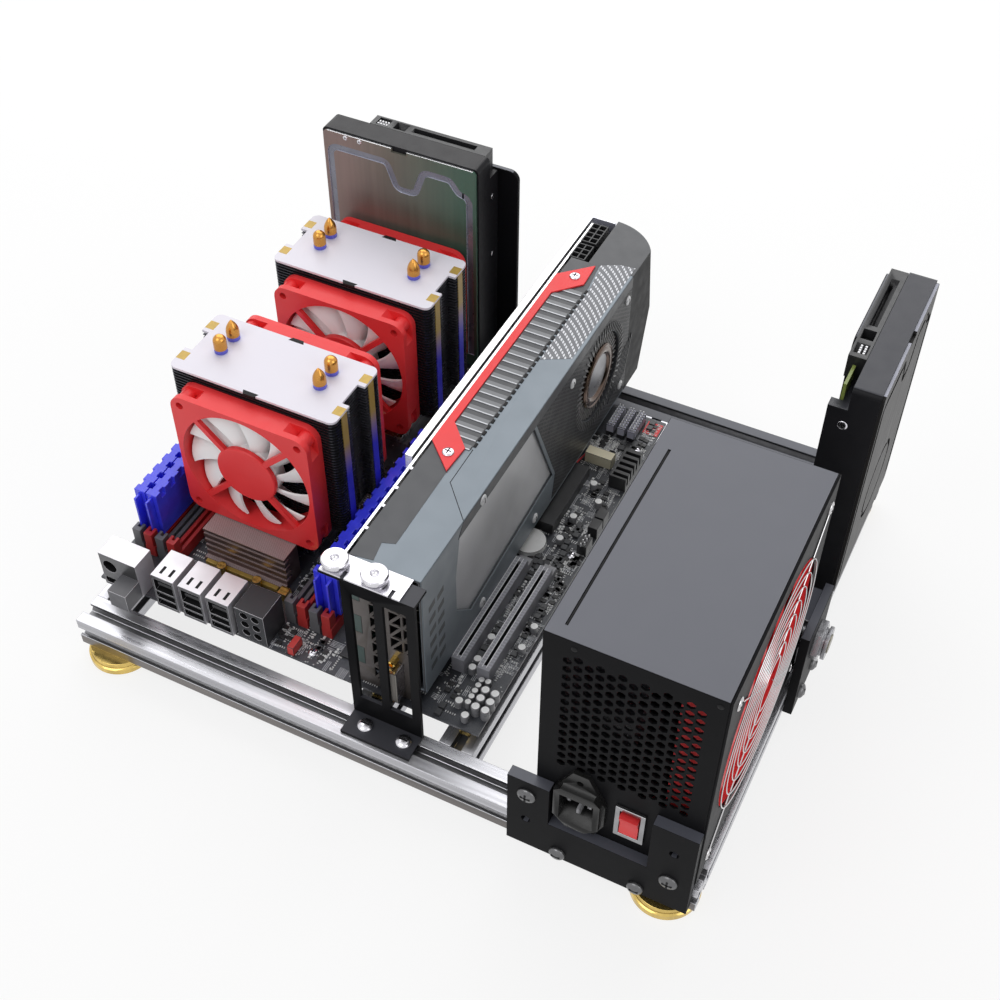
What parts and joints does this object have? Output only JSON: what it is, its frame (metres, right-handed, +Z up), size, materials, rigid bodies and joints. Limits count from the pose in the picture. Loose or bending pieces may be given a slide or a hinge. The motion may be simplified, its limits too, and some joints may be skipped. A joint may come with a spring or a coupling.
{
  "type": "open air test bench",
  "caption": "Open computer test bench: T-slot rail frame on round feet carrying a motherboard with tower coolers, an upright graphics card, a power supply and hard drives.",
  "frame": {"origin": "middle of the rail frame, on the surface that the feet stand on", "axes": "+X right along the front rail, +Y back, +Z up"},
  "size_m": [0.387, 0.3451, 0.2035],
  "materials": {
    "aluminium": "bright extruded aluminium",
    "brass": "polished brass",
    "steel": "bright steel",
    "black_metal": "black powder coat",
    "dark_fins": "black nickel",
    "circuit": "dark circuit board",
    "shield": "plated sheet",
    "grey_plastic": "grey plastic",
    "red_plastic": "red plastic",
    "blue_spreader": "blue anodised",
    "can": "bright cans",
    "copper": "copper",
    "white_plastic": "white plastic",
    "shroud": "blue-grey paint",
    "dark_plastic": "dark plastic",
    "window": "smoked clear plastic",
    "casting": "dark casting",
    "cover": "brushed cover"
  },
  "bodies": {
    "bench": {"front_rail": "aluminium", "rear_rail": "aluminium", "left_rail": "aluminium", "middle_rail": "aluminium", "board_rail": "aluminium", "right_rail": "aluminium", "feet": "brass", "motherboard": "circuit", "board_standoffs": "brass", "rear_ports": "shield", "ram_slots_grey": "grey_plastic", "ram_slots_red": "red_plastic", "ram_modules": "blue_spreader", "vrm_heatsink": "copper", "capacitors": "can", "pcie_slots": "grey_plastic", "board_parts": "dark_plastic", "cpu_sockets": "shield", "cooler_front_core": "copper", "cooler_front_fins": "dark_fins", "cooler_front_fan_frames": "red_plastic", "cooler_rear_core": "copper", "cooler_rear_fins": "dark_fins", "cooler_rear_fan_frames": "red_plastic", "gpu_board": "circuit", "gpu_ports": "dark_plastic", "gpu_bracket": "steel", "gpu_backplate": "steel", "gpu_shroud": "shroud", "gpu_end_cap": "dark_plastic", "gpu_heatsink": "aluminium", "gpu_window": "window", "gpu_trim": "red_plastic", "gpu_stand": "black_metal", "thumb_screws": "steel", "rail_screws": "steel", "psu_case": "black_metal", "psu_cover": "black_metal", "psu_fan_frame": "dark_plastic", "psu_grille": "steel", "psu_inlet": "dark_plastic", "psu_switch_bezel": "steel", "psu_board": "circuit", "psu_bracket": "black_metal", "hdd_left_body": "casting", "hdd_right_body": "casting", "hdd_covers": "cover", "hdd_boards": "circuit", "hdd_brackets": "black_metal", "switch_plate": "black_metal", "power_button_body": "steel", "power_button_nut": "steel"},
    "front_fan_a": {"cooler_front_rotor_a": "white_plastic"},
    "front_fan_b": {"cooler_front_rotor_b": "white_plastic"},
    "rear_fan_a": {"cooler_rear_rotor_a": "white_plastic"},
    "rear_fan_b": {"cooler_rear_rotor_b": "white_plastic"},
    "supply_fan": {"psu_rotor": "red_plastic"},
    "card_blower": {"gpu_rotor": "dark_plastic"},
    "rocker": {"psu_rocker": "red_plastic"},
    "button": {"power_button_cap": "steel"}
  },
  "joints": [
    {"name": "front_fan_a_spin", "type": "hinge", "parent": "bench", "child": "front_fan_a", "pos_m": [-0.114, -0.073, 0.1055], "axis": [0, 1, 0], "continuous": true},
    {"name": "front_fan_b_spin", "type": "hinge", "parent": "bench", "child": "front_fan_b", "pos_m": [-0.114, -0.011, 0.1055], "axis": [0, 1, 0], "continuous": true},
    {"name": "rear_fan_a_spin", "type": "hinge", "parent": "bench", "child": "rear_fan_a", "pos_m": [-0.114, 0.0295, 0.1055], "axis": [0, 1, 0], "continuous": true},
    {"name": "rear_fan_b_spin", "type": "hinge", "parent": "bench", "child": "rear_fan_b", "pos_m": [-0.114, 0.0915, 0.1055], "axis": [0, 1, 0], "continuous": true},
    {"name": "supply_fan_spin", "type": "hinge", "parent": "bench", "child": "supply_fan", "pos_m": [0.174, -0.086, 0.109], "axis": [1, 0, 0], "continuous": true},
    {"name": "card_blower_spin", "type": "hinge", "parent": "bench", "child": "card_blower", "pos_m": [0, 0.088, 0.097], "axis": [1, 0, 0], "continuous": true},
    {"name": "rocker_tilt", "type": "hinge", "parent": "bench", "child": "rocker", "pos_m": [0.1485, -0.157, 0.0635], "axis": [1, 0, 0], "range_deg": [0, 9]},
    {"name": "button_press", "type": "slide", "parent": "bench", "child": "button", "axis": [-1, 0, 0], "range_m": [0, 0.002], "stiffness_N_per_m": 400, "springref_m": -0.0005}
  ]
}
